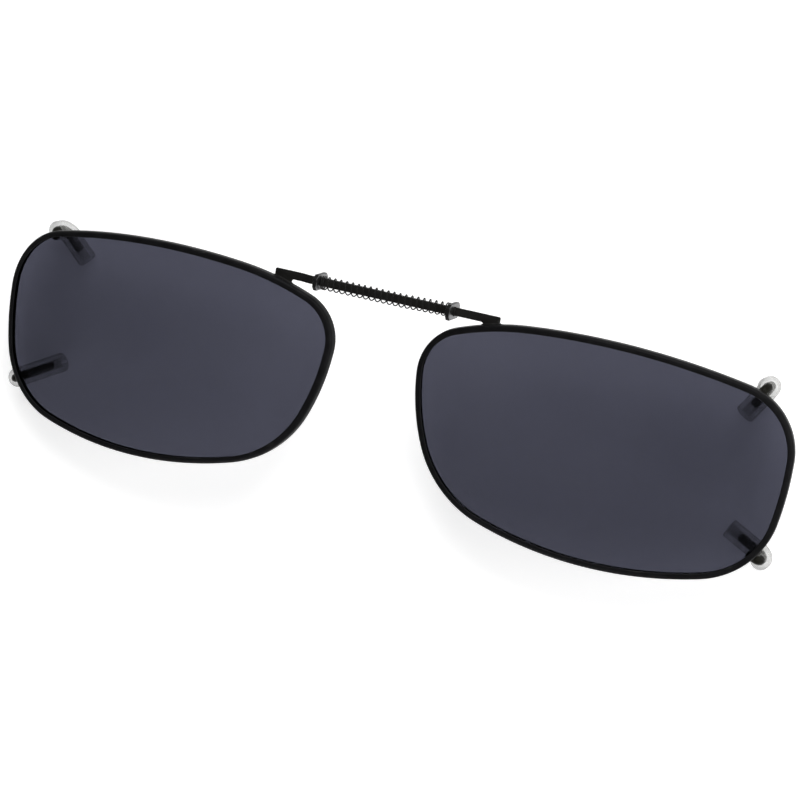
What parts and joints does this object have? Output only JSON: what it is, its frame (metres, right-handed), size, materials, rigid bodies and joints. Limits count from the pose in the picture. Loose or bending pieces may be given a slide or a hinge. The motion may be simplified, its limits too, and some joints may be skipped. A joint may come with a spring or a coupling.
{
  "type": "clip on sunglasses",
  "caption": "Clip-on sunglasses: rimmed tinted lenses joined by a spring-loaded sliding bridge, with sleeved wire hooks that grip behind spectacle lenses.",
  "frame": {"origin": "under the middle of the outline, on the surface that the hook sleeves rest on", "axes": "+X towards the right-hand lens as worn looking at the front, +Y towards the top of the lenses, +Z out of the lens fronts"},
  "size_m": [0.1268, 0.034, 0.0143],
  "materials": {
    "black_lacquer": "gloss black lacquer on thin channel wire",
    "smoke_tint": "dark grey tinted lens, polished",
    "hook_lacquer": "satin black lacquer on wire",
    "clear_vinyl": "clear soft vinyl tube",
    "bar_lacquer": "gloss black lacquer on flat strip",
    "nickel": "nickel plated plate",
    "spring_steel": "dark spring wire"
  },
  "bodies": {
    "right_half": {"right_rim": "black_lacquer", "right_lens": "smoke_tint", "right_upper_hook": "hook_lacquer", "right_lower_hook": "hook_lacquer", "right_upper_sleeve": "clear_vinyl", "right_lower_sleeve": "clear_vinyl", "right_bridge_bar": "bar_lacquer", "right_bar_keeper": "nickel", "bridge_spring": "spring_steel"},
    "left_half": {"left_rim": "black_lacquer", "left_lens": "smoke_tint", "left_upper_hook": "hook_lacquer", "left_lower_hook": "hook_lacquer", "left_upper_sleeve": "clear_vinyl", "left_lower_sleeve": "clear_vinyl", "left_bridge_bar": "bar_lacquer", "left_bar_keeper": "nickel"}
  },
  "joints": [
    {"name": "bridge_slide", "type": "slide", "parent": "right_half", "child": "left_half", "axis": [-1, 0, 0], "range_m": [0, 0.0085], "stiffness_N_per_m": 105, "springref_m": -0.004, "deforming": ["bridge_spring"]}
  ]
}
